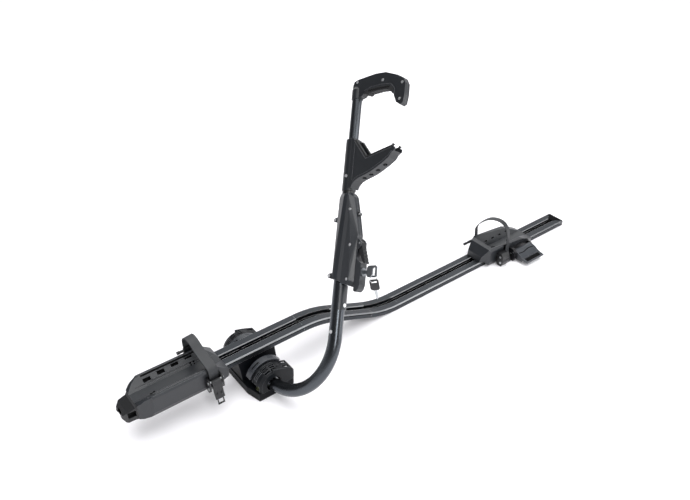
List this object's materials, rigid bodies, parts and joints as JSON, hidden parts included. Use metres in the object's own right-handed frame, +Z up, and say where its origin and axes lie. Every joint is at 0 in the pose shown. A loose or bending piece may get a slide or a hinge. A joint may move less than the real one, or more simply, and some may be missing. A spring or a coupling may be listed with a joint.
{
  "type": "roof bike carrier",
  "caption": "Roof bike carrier: stepped wheel rail on a crossbar foot, folding J-shaped arm with a sliding frame hook and a locking clamp, and strapped wheel trays.",
  "frame": {"origin": "on the crossbar seat under the foot's rubber pad, straight below the arm's pivot axis and on the rail's centre plane", "axes": "+X runs rearward along the wheel rail, +Y across it away from the arm's side, +Z up"},
  "size_m": [1.469, 0.3075, 0.6701],
  "materials": {
    "rail_aluminium": "dark anodised, satin",
    "black_tube": "gloss black powder coat on steel tube",
    "grey_plastic": "moulded charcoal plastic, fine grain",
    "black_plastic": "moulded black plastic",
    "rubber": "matt black rubber",
    "strap": "flexible moulded strap, matt",
    "steel": "zinc-plated steel",
    "chrome": "bright plated"
  },
  "bodies": {
    "carrier": {"wheel_rail": "rail_aluminium", "rail_end_cap": "black_plastic", "base_foot": "grey_plastic", "foot_pad": "rubber", "near_hood": "grey_plastic", "far_hood": "grey_plastic", "foot_bolts": "steel", "crossbar_nuts": "steel", "socket_plug": "black_plastic", "front_wheel_tray": "grey_plastic", "front_tray_nose": "black_plastic", "front_strap": "strap", "front_strap_peg": "black_plastic", "front_buckle_frame": "black_plastic", "front_buckle_pins": "steel"},
    "near_clamp": {"near_clamp_lever": "grey_plastic"},
    "far_clamp": {"far_clamp_lever": "grey_plastic"},
    "front_lever": {"front_buckle_lever": "black_plastic"},
    "rear_tray": {"rear_wheel_tray": "grey_plastic", "rear_tray_slider": "black_plastic", "rear_strap": "strap", "rear_strap_peg": "black_plastic", "rear_buckle_frame": "black_plastic", "rear_buckle_pins": "steel"},
    "rear_lever": {"rear_buckle_lever": "black_plastic"},
    "arm": {"arm_tube": "black_tube", "guide_bush": "black_plastic", "arm_cover_strip": "black_plastic", "arm_rivets": "chrome", "housing_front": "grey_plastic", "housing_rear": "grey_plastic", "housing_screws": "chrome", "neck_ring": "steel", "lower_jaw": "grey_plastic", "jaw_lips": "rubber", "lock_box": "grey_plastic", "lock_barrel": "chrome", "release_pin": "steel"},
    "release": {"release_lever": "black_plastic"},
    "lock_key": {"lock_plug": "chrome", "key": "steel"},
    "spare": {"key_ring": "steel", "spare_key": "black_plastic", "spare_blade": "steel"},
    "hook": {"upper_tube": "black_tube", "hook_front": "grey_plastic", "hook_rear": "grey_plastic", "hook_pad": "rubber", "hook_screws": "chrome"}
  },
  "joints": [
    {"name": "arm_fold", "type": "hinge", "parent": "carrier", "child": "arm", "pos_m": [0, -0.05, 0.036], "axis": [0, 1, 0], "range_deg": [-25, 50]},
    {"name": "hook_slide", "type": "slide", "parent": "arm", "child": "hook", "axis": [0.4774, 0.4726, 0.7408], "range_m": [-0.07, 0.02]},
    {"name": "release_pull", "type": "hinge", "parent": "arm", "child": "release", "pos_m": [0.21457, -0.14067, 0.36894], "axis": [0.8406, 0, -0.5417], "range_deg": [-12, 0]},
    {"name": "key_turn", "type": "hinge", "parent": "arm", "child": "lock_key", "pos_m": [0.1874, -0.17834, 0.32678], "axis": [0.256, -0.8813, 0.3972], "range_deg": [0, 90]},
    {"name": "spare_swing", "type": "hinge", "parent": "lock_key", "child": "spare", "pos_m": [0.19329, -0.20541, 0.33493], "axis": [1, 0, 0], "range_deg": [-15, 15]},
    {"name": "near_clamp_turn", "type": "hinge", "parent": "carrier", "child": "near_clamp", "pos_m": [0, -0.032, 0.036], "axis": [0, 1, 0], "range_deg": [-28, 0]},
    {"name": "far_clamp_turn", "type": "hinge", "parent": "carrier", "child": "far_clamp", "pos_m": [0, 0.032, 0.036], "axis": [0, 1, 0], "range_deg": [-28, 0]},
    {"name": "front_buckle_turn", "type": "hinge", "parent": "carrier", "child": "front_lever", "pos_m": [-0.128, -0.054, 0.098], "axis": [1, 0, 0], "range_deg": [-80, 0]},
    {"name": "rear_tray_slide", "type": "slide", "parent": "carrier", "child": "rear_tray", "axis": [1, 0, 0], "range_m": [-0.25, 0.06]},
    {"name": "rear_buckle_turn", "type": "hinge", "parent": "rear_tray", "child": "rear_lever", "pos_m": [0.88, -0.055, 0.023], "axis": [1, 0, 0], "range_deg": [-70, 0]}
  ]
}
